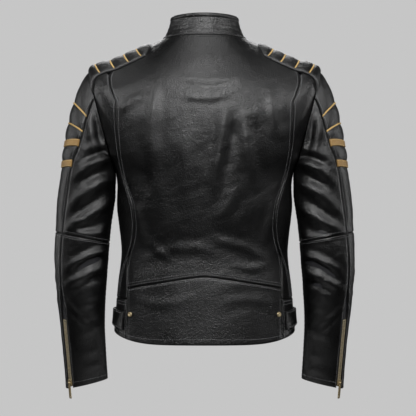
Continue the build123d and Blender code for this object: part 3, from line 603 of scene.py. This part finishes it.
def topstitch(piece, edges, owner, row, mat=None):
    """Adds stitches along a piece's edges, on a grid line inside each edge."""
    body_name = owner if isinstance(owner, str) else owner[1]
    name = ("gold_" if mat else "") + "stitching_" + body_name
    _, _, corners, faces = THREADS.setdefault(name, (owner, mat or THREAD, [], []))
    for edge in edges:
        points, normals = (EDGE_LINES[edge](piece[key], row) for key in ("top", "normal"))
        more, every = stitch_row(points, normals, piece["turn"])
        done = len(corners)
        corners += more.tolist()
        faces += [[v + done for v in face] for face in every]


def build_threads():
    for name, (owner, mat, corners, faces) in THREADS.items():
        if faces:
            obj = mesh_object(name, corners, faces, mat)
            settle(obj, (), owner)


def settle(obj, nodes, owner):
    """owner is a body's name, or a joint as (first body, second body, start, end)."""
    if isinstance(owner, str):
        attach(obj, owner)
    else:
        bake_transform(obj)
    if nodes:
        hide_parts(*nodes)


def dress(piece, nodes=(), stitched=(), owner="jacket_body", row=OUTER_ROW, double=()):
    """Settles a piece in place of the CAD nodes and stitches its edges, some of them twice."""
    settle(piece["obj"], nodes, owner)
    topstitch(piece, stitched, owner, row)
    topstitch(piece, double, owner, INNER_ROW)


# ---------------------------------------- leather's relief
def body_relief(turn):
    def height(points, normal, edges, i, j):
        back = np.clip(normal[..., 1] * 1.6 + 0.35, 0, 1)
        front = np.clip(-normal[..., 1] * 1.6 + 0.35, 0, 1)
        seen = points * (turn, 1, 1)
        relief = fold_height(seen, BACK_FOLDS) * back + fold_height(seen, FRONT_FOLDS) * front
        calm = 1 - 0.45 * ease((240 - seen[..., 2]) / 120)
        fine = waves(seen, 60, 0.45) + waves(seen, 18, 0.14) + ridges(seen, 30, 0.16)
        return (1.1 * relief + fine) * calm
    return height


def sleeve_relief(turn):
    def height(points, normal, edges, i, j):
        back = np.clip(normal[..., 1] * 1.5 + 0.4, 0, 1)
        front = np.clip(-normal[..., 1] * 1.5 + 0.3, 0, 1)
        lift = 0.0 if turn > 0 else 9.0
        seen = points * (turn, 1, 1)
        relief = fold_height(points, SLEEVE_FOLDS, lift) * back
        relief += fold_height(points, SLEEVE_FOLDS, lift - 14.0) * front * 0.9
        calm = 1 - 0.55 * ease((150 - seen[..., 2]) / 150)
        calm = calm * (0.4 + 0.6 * ease(np.minimum(edges["first"], edges["last"]) / 26))
        fine = waves(seen, 40, 0.7) + waves(seen, 14, 0.26) + ridges(seen, 24, 0.5)
        return (1.45 * relief + fine) * calm
    return height


# ---------------------------------------- body pieces
def waist_seam(share):
    """Station of the arched seam, by share of the way across the back."""
    return 115 - 25 * np.abs(2 * share - 1) ** 1.5


def clear_of_pocket(points):
    """Which faces of a grid of points lie clear of the pocket's slit."""
    (top_x, top_z), (low_x, low_z) = POCKET_ENDS
    along = np.array([low_x - top_x, low_z - top_z])
    length = np.hypot(*along)
    along = along / length
    middle = (points[:-1, :-1] + points[1:, 1:]) / 2
    dx, dz = middle[..., 0] - top_x, middle[..., 2] - top_z
    run, across = dx * along[0] + dz * along[1], dx * along[1] - dz * along[0]
    return ~((run > -2) & (run < length + 2) & (np.abs(across) < POCKET_GAP))


def between_seams(s, i):
    """Across the back from one princess seam to the other."""
    edge = seam_angle(s, 1) + GAP * degrees_per_mm(body, s, seam_angle(s, 1))
    return s, mix(edge, 180 - edge, i)


def build_body():
    def back(i, j):
        return between_seams(mix(waist_seam(i) + GAP, NECK_HEIGHT, j), i)

    def waist(i, j):
        return between_seams(mix(0, waist_seam(i) - GAP, j), i)
    relief = body_relief(1.0)
    piece = sheet("leather_back_centre", body, back, (350, 510), BLACK, relief, free=("high",))
    dress(piece, ["back_centre_panel"], ("first", "last", "low"), double=("low",))
    piece = sheet("leather_back_waist", body, waist, (330, 100), BLACK, relief)
    dress(piece, ["back_waist_panel"], ("high", "first", "last"), double=("low",))

    for label, turn in SIDES:
        relief = body_relief(turn)
        for name, side, line in (("back", 1, SIDE_SEAM), ("front", -1, FRONT_SEAM)):
            def place(i, j, side=side, line=line):
                s = mix(HEM_SIDE_TOP + GAP, SIDE_TOP, j)
                seam = seam_angle(s, side, line)
                seam = seam - side * GAP * degrees_per_mm(body, s, seam)
                middle = GAP * degrees_per_mm(body, s, 0.0)
                outer = side * np.maximum(middle, np.abs(armhole_angle(s, side)))
                return s, mix(outer, seam, i)
            piece = sheet(f"leather_{name}_side_{label}", body, place, (70, 430), BLACK, relief,
                          turn=turn, free=("high",))
            dress(piece, [f"{name}_side_panel_{label}"], ("last",))

        def gusset(i, j):
            s = mix(HEM_SIDE_TOP + GAP, GUSSET_TOP, j)
            outer, inner = seam_angle(s, 1, SIDE_SEAM), seam_angle(s, 1)
            gap = GAP * degrees_per_mm(body, s, outer)
            return s, mix(outer + gap, inner - gap, i)
        piece = sheet(f"leather_gusset_{label}", body, gusset, (24, 84), BLACK, turn=turn)
        dress(piece, [f"side_gusset_{label}"], ("first",))

        def hem_side(i, j):
            s = mix(0, HEM_SIDE_TOP - GAP, j)
            gap = GAP * degrees_per_mm(body, s, 40.0)
            return s, mix(seam_angle(s, -1) + gap, seam_angle(s, 1) - gap, i)
        piece = sheet(f"leather_hem_side_{label}", body, hem_side, (150, 70), BLACK, relief, turn=turn)
        dress(piece, [f"side_hem_panel_{label}"], ("high", "first", "last"), double=("low", "high"))

        def front(i, j):
            s = mix(0, NECK_HEIGHT, j)
            seam = seam_angle(s, -1)
            return s, mix(seam - GAP * degrees_per_mm(body, s, seam), angle_at(s, FRONT_EDGE_X, -1), i)
        piece = sheet(f"leather_front_{label}", body, front, (165, 620), BLACK, relief, turn=turn,
                      free=("high",), keep=clear_of_pocket)
        dress(piece, [f"front_centre_panel_{label}"], ("first", "last"), double=("low",))


# ---------------------------------------- shoulder pads
PIPING = (463.0, 491.0, 518.0, 541.0)


def pad_start(i):
    """Station where the pad's edge lies on the armhole plane."""
    def inside(s):
        p = body(s, mix(pad_angle(s, -1), pad_angle(s, 1), i))
        return p[..., 0] + 1.0 > armhole_x(p[..., 2])
    return bisect(400, 470, inside, np.shape(i))


def pad_end(i):
    return mix(*PAD_END, (2 * i - 1) ** 2)


def mounds(at, lines, power):
    """Soft mounds from each line to the next, where lines holds pairs of a low and a high value."""
    bulge = np.zeros_like(at)
    for low, high in lines:
        f = np.clip((at - low) / np.maximum(high - low, 0.001), 0, 1)
        bulge = np.where((at >= low) & (at < high), np.sin(np.pi * f) ** power, bulge)
    return bulge


def build_pads():
    for label, turn in SIDES:
        def place(i, j):
            s = mix(pad_start(i), pad_end(i), j)
            return s, mix(pad_angle(s, -1), pad_angle(s, 1), i)

        def puff(points, normal, edges, i, j):
            s = place(i, j)[0]
            lines = [pad_start(i)] + [np.full_like(s, p) for p in PIPING] + [pad_end(i)]
            bulge = mounds(s, zip(lines[:-1], lines[1:]), 0.55)
            seen = points * (turn, 1, 1)
            return 3.0 * bulge - 1.4 + waves(seen, 16, 0.25) + ridges(seen, 14, 0.3) * bulge
        piece = sheet(f"shoulder_pad_{label}", body, place, (112, 120), PADDED, puff, thick=4.2, base=4.8,
                      roll=2.6, roll_width=6, turn=turn, pitch=1.6)
        dress(piece, [f"shoulder_pad_{label}"], ("first", "last"), row=PAD_ROW)
        for k, s in enumerate(PIPING):
            share = np.linspace(0.015, 0.985, 70)
            angle = mix(pad_angle(s, -1), pad_angle(s, 1), share)
            station = np.full_like(angle, s)
            up = outward(body, station, angle)
            line = body(station, angle) + up * (4.2 - 1.6 * np.abs(2 * share - 1)[:, None] ** 8)
            obj = cord(f"shoulder_piping_{label}_{k}", line, up, 1.5, MUSTARD, turn)
            nodes = ["shoulder_piping"] if k == 0 and turn > 0 else ()
            settle(obj, nodes, "jacket_body")


# ---------------------------------------- sleeves
# station on the outer rail, how far the ends climb, width, rise
STRIPES = [(0.12, 0.04, 3.4, 1.7), (0.195, 0.052, 3.4, 1.7),
           (0.267, 0.07, 14.5, 1.5), (0.335, 0.043, 14.5, 1.5)]
WIDE = 10.0  # wider stripes are bars and narrower ones pipings
BAR_HALF = 0.011  # half a bar's width as a share of the sleeve
ELBOW_T, ELBOW_GAP = 0.5, 0.0005
SEAM_BELOW = 180.0  # angle of the seam under the arm


def stripe_station(t0, climb, angle):
    """Station of a stripe's middle: its ends climb towards the shoulder."""
    edge = smooth(STRIPE_EDGE, 1, t0 - climb)
    return t0 - climb * (1 - np.cos(np.radians(angle))) / (1 - np.cos(np.radians(edge)))


def sleeve_owner(label, turn):
    """Owner of a sleeve piece: the body, the sleeve and a line from the armhole 45 mm out; settle only
    bakes such a piece in place.
    """
    start = Vector((turn * 208.5, 0, 424.5)) * MM
    return "jacket_body", f"sleeve_{label}", start, start + Vector((turn * 43.5, 0, -11.5)) * MM


def forearm_owner(label, turn):
    """Owner of a forearm piece: the sleeve, the forearm and a line from the sleeve to the forearm around
    the elbow; settle only bakes such a piece in place.
    """
    start, end = (Vector((turn * 251, 0, z)) * MM for z in (184, 92))
    return f"sleeve_{label}", f"forearm_{label}", start, end


def outer_seam(side, gap_side, slit=False, whole=0):
    """Edge beside a seam of the outer strip; slit parts it for the cuff zip."""
    def edge(t):
        angle, gap = side * smooth(STRIPE_EDGE, 1, t), GAP
        if slit:
            gap = mix(GAP, CUFF_ZIP_GAP, ease((t - CUFF_ZIP_OPEN) / CUFF_ZIP_FADE))
        return whole + (angle + gap_side * gap * degrees_per_mm(sleeve, t, angle))
    return edge


def under_seam(gap_side):
    """Edge beside the seam under the arm."""
    return lambda t: SEAM_BELOW + gap_side * GAP * degrees_per_mm(sleeve, t, SEAM_BELOW)


def build_sleeves():
    for label, turn in SIDES:
        relief = sleeve_relief(turn)
        upper, lower = sleeve_owner(label, turn), forearm_owner(label, turn)

        def strip(name, first, last, below, size, mat, height, **options):
            def place(i, j):
                middle = mix(first(0.3), last(0.3), i)
                top = np.full_like(middle, ELBOW_T + ELBOW_GAP) if below else sleeve_start(middle)
                t = mix(top, 1.0 if below else ELBOW_T - ELBOW_GAP, j)
                return t, mix(first(t), last(t), i)
            return sheet(f"{name}_{label}", sleeve, place, size, mat, height, turn=turn, **options)

        def segments(points, normal, edges, i, j):
            t = mix(sleeve_start(mix(-47.0, 47.0, i)), ELBOW_T, j)
            angle = mix(-1.0, 1.0, i) * smooth(STRIPE_EDGE, 1, t)
            lines = [np.zeros_like(t)]
            for t0, climb, wide, _ in STRIPES:
                half = BAR_HALF if wide > WIDE else 0.0
                middle = stripe_station(t0, climb, angle)
                lines += [middle - half, middle + half]
            lines.append(np.full_like(t, ELBOW_T))
            bulge = mounds(t, zip(lines[::2], lines[1::2]), 0.6)
            fade = 1 - ease((t - 0.44) / 0.06)
            seen = points * (turn, 1, 1)
            folds = relief(points, normal, edges, i, j) * 0.35
            return (3.4 * bulge - 0.3) * fade + folds + ridges(seen, 16, 0.25)

        piece = strip("sleeve_stripe_panel", outer_seam(-1, 1), outer_seam(1, -1), False, (100, 330),
                      PADDED, segments, base=0.2, thick=2.6, roll=2.2, roll_width=5)
        dress(piece, [f"sleeve_stripe_panel_{label}"], ("first", "last"), upper, BAND_ROW)
        for name, first, last, below, size, stitched in (
            ("sleeve_back_panel", outer_seam(1, 1), under_seam(-1), False, (150, 260), ("first", "high")),
            ("sleeve_front_panel", under_seam(1), outer_seam(-1, -1, whole=360), False, (150, 260),
             ("last", "high")),
            ("forearm_outer_panel", outer_seam(-1, 1), outer_seam(1, -1, slit=True), True, (78, 320),
             ("first", "last", "low")),
            ("forearm_back_panel", outer_seam(1, 1, slit=True), under_seam(-1), True, (120, 290),
             ("first", "low")),
            ("forearm_front_panel", under_seam(1), outer_seam(-1, -1, whole=360), True, (120, 290),
             ("last", "low")),
        ):
            piece = strip(name, first, last, below, size, BLACK, relief)
            nodes = [f"{name}_{label}"]
            if name == "forearm_back_panel":
                nodes.append(f"elbow_gusset_{label}")
            dress(piece, nodes, stitched, lower if below else upper, double=("high",) if below else ())

        for k, (t0, climb, wide, rise) in enumerate(STRIPES):
            def bar(i, j, t0=t0, climb=climb, wide=wide):
                edge = smooth(STRIPE_EDGE, 1, t0 - climb) - 1.0
                angle = mix(-edge, edge, i)
                t = stripe_station(t0, climb, angle)
                length = np.linalg.norm(sleeve(t + 0.01, angle) - sleeve(t - 0.01, angle), axis=-1) / 0.02
                return t + mix(-wide / 2, wide / 2, j) / length, angle
            piece = sheet(f"sleeve_stripe_{label}_{k}", sleeve, bar, (120, wide),
                          BAR if wide > WIDE else MUSTARD, thick=2.2, base=1.3 + rise, roll=1.5,
                          roll_width=min(3.0, wide / 2), turn=turn, pitch=2.0)
            nodes = [f"sleeve_stripes_{label}"] if k == 0 else ()
            dress(piece, nodes, owner=upper)
            if wide > WIDE:
                topstitch(piece, ("low", "high"), upper, STRAP_ROW, GOLD_THREAD)

        def inside(i, j):
            return mix(0.47, 0.993, j), mix(0.0, 360.0, i)
        piece = sheet(f"sleeve_lining_{label}", sleeve, inside, (300, 320), LINING, wavy(22, 0.5),
                      thick=0.6, base=-3.4, roll=0, free=("first", "last"), turn=turn, pitch=5)
        dress(piece, owner=lower)


# ---------------------------------------- collar, lining, tabs
def neck_join(share, angle):
    """Strip of leather between the neckline and the foot of the collar."""
    share = np.asarray(share)[..., None]
    return mix(body(597.0, angle), collar(0.03, angle), share)


def build_collar():
    def ring(low, high, inset=0.0):
        first, last = COLLAR_SWEEP
        return lambda i, j: (mix(low, high, j), mix(first + inset, last - inset, i))
    piece = sheet("collar_stand", neck_join, ring(0.0, 1.0), (400, 16), BLACK, thick=1.6, base=-0.3,
                  roll=0.2)
    dress(piece)

    def channels(points, normal, edges, i, j):
        rows = -0.55 * np.exp(-((np.mod(j * 4.0, 1.0) - 0.5) * 5) ** 2)
        return rows + waves(points, 20, 0.35) + ridges(points, 12, 0.3)
    piece = sheet("collar_band", collar, ring(0.0, 0.83), (400, 38), BLACK, channels, pitch=2.0, roll=1.0)
    dress(piece, ["collar_band"], ("low", "high"), row=BAND_ROW)
    piece = sheet("collar_binding", collar, ring(0.81, 1.0), (400, 9), BLACK, thick=4.2, base=1.4,
                  roll=2.2, roll_width=4.2, pitch=2.4)
    dress(piece, ["collar_binding"])
    piece = sheet("collar_lining", collar, ring(0.0, 0.97, 1.0), (400, 44), LINING, wavy(18, 0.3),
                  thick=0.8, base=-3.2, roll=0.2, pitch=3)
    dress(piece, ["collar_lining"])
    angle = np.linspace(COLLAR_SWEEP[0] + 1, COLLAR_SWEEP[1] - 1, 220)
    station = np.full_like(angle, 0.02)
    up = outward(collar, station, angle)
    seam = cord("collar_seam_roll", collar(station, angle) + up * 0.6, up, 1.7, BLACK, sides=10)
    settle(seam, (), "jacket_body")

    def strap(i, j):
        return mix(0.3, 0.8, j), mix(-70.0, -103.0, i)
    piece = sheet("collar_tab", collar, strap, (46, 22), BLACK, thick=1.8, base=4.4, roll=0.9)
    dress(piece, ["collar_tab"], ("low", "high", "last"), "collar_tab", row=STRAP_ROW)


def trim_armholes(obj, turns):
    """Cuts a lining off at the armhole planes, above the armpits."""
    across, rise = SHOULDER_POINT[0] - ARMPIT[0], SHOULDER_POINT[1] - ARMPIT[1]
    for turn in turns:
        cutter_mesh = bpy.data.meshes.new("cutter")
        shape = bmesh.new()
        bmesh.ops.create_cube(shape, size=1.0)
        shape.to_mesh(cutter_mesh)
        shape.free()
        cutter = bpy.data.objects.new("cutter", cutter_mesh)
        bpy.context.collection.objects.link(cutter)
        up = Vector((turn * across, 0, rise)).normalized()
        out = Vector((turn * rise, 0, -across)).normalized()
        turned = Matrix((up, out.cross(up), out)).transposed().to_4x4()
        middle = Vector((turn * ARMPIT[0], 0, ARMPIT[1])) + up * 290 + out * 196
        cutter.matrix_world = Matrix.Translation(middle * MM) @ turned @ Matrix.Diagonal((0.6, 0.6, 0.4, 1))
        cut = obj.modifiers.new("trim", "BOOLEAN")
        cut.operation, cut.object, cut.solver = "DIFFERENCE", cutter, "EXACT"
        bpy.context.view_layer.update()
        graph = bpy.context.evaluated_depsgraph_get()
        trimmed = bpy.data.meshes.new_from_object(obj.evaluated_get(graph))
        obj.modifiers.clear()
        obj.data = trimmed
        bpy.data.objects.remove(cutter)


def build_lining():
    def folds(points, normal, edges, i, j):
        return waves(points, 60, 1.2) + waves(points, 24, 0.5)

    def height(j):
        return mix(*LINING_ENDS, j)
    options = {"thick": 0.6, "base": -6.2, "roll": 0, "pitch": 7}
    piece = sheet("body_lining_back", body, lambda i, j: (height(j), mix(1.0, 179.0, i)), (430, 590),
                  LINING, folds, **options)
    trim_armholes(piece["obj"], (1, -1))
    dress(piece, ["body_lining"])
    for label, turn in SIDES:
        def front(i, j):
            return height(j), mix(-1.0, angle_at(height(j), 16.0, -1), i)
        piece = sheet(f"body_lining_front_{label}", body, front, (210, 590), LINING, folds, turn=turn,
                      **options)
        trim_armholes(piece["obj"], (turn,))
        dress(piece)

        def bag(i, j):
            (top_x, top_z), (low_x, low_z) = POCKET_ENDS
            s = mix(low_z - 8, top_z + 8, j)
            x = mix(low_x, top_x, (s - low_z) / (top_z - low_z)) + mix(14, -64, i)
            return s, angle_at(s, x, -1)
        piece = sheet(f"pocket_bag_{label}", body, bag, (80, 135), LINING, thick=0.5, base=-5.3, roll=0,
                      turn=turn, pitch=7)
        dress(piece, ["pocket_bags"] if turn > 0 else ())


def build_tabs():
    for label, turn in SIDES:
        def place(i, j):
            return mix(*TAB_STATIONS, j), mix(*TAB_ANGLES, i)
        name = f"waist_tab_{label}"
        piece = sheet(name, body, place, (88, 33), BLACK, wavy(20, 0.2), base=5.6, roll=1.2,
                      roll_width=2.6, turn=turn, pitch=2.0)
        dress(piece, [name], ("low", "high", "last"), name, row=BAND_ROW)
        angle, s = np.array(15.5), np.array(31.5)
        at, up = body(s, angle), outward(body, s, angle)
        spread = np.linspace(0, 1, 3)[:, None]
        disc = cord(f"waist_tab_socket_{label}", at + up * (1.9 + 1.2 * spread), np.array([0, 0, 1.0]), 5.0,
                    BRASS, turn, flat=1.0, sides=24)
        settle(disc, (), name)


# ---------------------------------------- CAD parts that show
def dress_cad():
    for name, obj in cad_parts.items():
        mat = None
        if "teeth" in name:
            mat = TEETH
        elif "tapes" in name:
            mat = TAPE
        elif any(word in name for word in ("slider", "pull", "studs", "cap")):
            mat = BRASS
        elif name in ("hanger_loop", "pocket_welts"):
            mat = BLACK
        if mat:
            obj.data.materials.clear()
            obj.data.materials.append(mat)


# ---------------------------------------- stage, lights, camera
BACKGROUND = 0.565  # grey of the wall, and of the floor away from the jacket
FLOOR_Z = -0.26
CAMERA_SPOT = (-0.007, 3.0, 0.252)
CAMERA_LENS = 126.6


def mix_shaders(tree, factor, low, high, out):
    both = tree.nodes.new("ShaderNodeMixShader")
    for source, socket in zip((factor, low, high), both.inputs):
        tree.links.new(source, socket)
    tree.links.new(both.outputs[0], out.inputs[0])


def build_stage():
    world = bpy.data.worlds.new("studio")
    bpy.context.scene.world = world
    world.use_nodes = True
    tree = world.node_tree
    tree.nodes.clear()
    out = tree.nodes.new("ShaderNodeOutputWorld")
    seen, lit = tree.nodes.new("ShaderNodeBackground"), tree.nodes.new("ShaderNodeBackground")
    path = tree.nodes.new("ShaderNodeLightPath")
    seen.inputs[0].default_value = (BACKGROUND,) * 3 + (1,)
    lit.inputs[0].default_value = (0.75, 0.76, 0.78, 1)
    lit.inputs[1].default_value = 0.035
    mix_shaders(tree, path.outputs["Is Camera Ray"], lit.outputs[0], seen.outputs[0], out)

    bpy.ops.mesh.primitive_circle_add(vertices=64, radius=9.0, fill_type="NGON", location=(0, 0, FLOOR_Z))
    floor = bpy.context.object
    floor.name = "floor"
    mat, tree, shader = nodes_of("pale_floor")
    shader.inputs["Base Color"].default_value = (0.62, 0.62, 0.62, 1)
    shader.inputs["Roughness"].default_value = 0.9
    place = add(tree, "ShaderNodeTexCoord")
    length = add(tree, "ShaderNodeVectorMath", operation="LENGTH")
    tree.links.new(place.outputs["Object"], length.inputs[0])
    glow = tree.nodes.new("ShaderNodeEmission")
    glow.inputs[0].default_value = (BACKGROUND,) * 3 + (1,)
    path = tree.nodes.new("ShaderNodeLightPath")
    tree.links.new(ramp(tree, path.outputs["Is Camera Ray"], 0.04, 1, 0, 1), glow.inputs["Strength"])
    mix_shaders(tree, ramp(tree, length.outputs["Value"], 0, 1, 0.10, 0.45), shader.outputs[0],
                glow.outputs[0], tree.nodes["Material Output"])
    floor.data.materials.append(mat)


def area(name, spot, target, size, power):
    data = bpy.data.lights.new(name, "AREA")
    data.shape = "RECTANGLE"
    data.size, data.size_y = size
    data.energy = power
    obj = bpy.data.objects.new(name, data)
    bpy.context.collection.objects.link(obj)
    obj.location = spot
    obj.rotation_euler = (Vector(target) - Vector(spot)).to_track_quat("-Z", "Y").to_euler()


def build_lights():
    area("key", (0.0, 1.75, 1.35), (0, 0.1, 0.45), (0.85, 0.75), 33)
    area("soft_top", (0.0, 0.3, 2.4), (0, 0, 0.4), (1.2, 1.2), 13)
    area("side_left", (1.5, 1.0, 1.3), (0.2, 0, 0.25), (0.3, 0.9), 14)
    area("side_right", (-1.5, 1.0, 1.3), (-0.2, 0, 0.25), (0.3, 0.9), 14)
    area("edge_left", (1.7, -0.5, 0.5), (0.2, 0, 0.2), (0.2, 1.4), 6)
    area("edge_right", (-1.7, -0.5, 0.5), (-0.2, 0, 0.2), (0.2, 1.4), 6)
    area("front_fill", (0.0, -1.8, 1.5), (0, 0, 0.35), (1.2, 0.8), 12)


def build_camera():
    data = bpy.data.cameras.new("camera")
    data.sensor_width, data.lens = 36.0, CAMERA_LENS
    data.clip_start, data.clip_end = 0.1, 50.0
    camera = bpy.data.objects.new("camera", data)
    bpy.context.collection.objects.link(camera)
    camera.location = CAMERA_SPOT
    camera.rotation_euler = (math.radians(90), 0, math.radians(180))
    bpy.context.scene.camera = camera


build_body()
build_pads()
build_sleeves()
build_collar()
build_lining()
build_tabs()
build_threads()
dress_cad()
build_stage()
build_lights()
build_camera()
bpy.context.scene.view_settings.view_transform = "Standard"
bpy.context.view_layer.update()
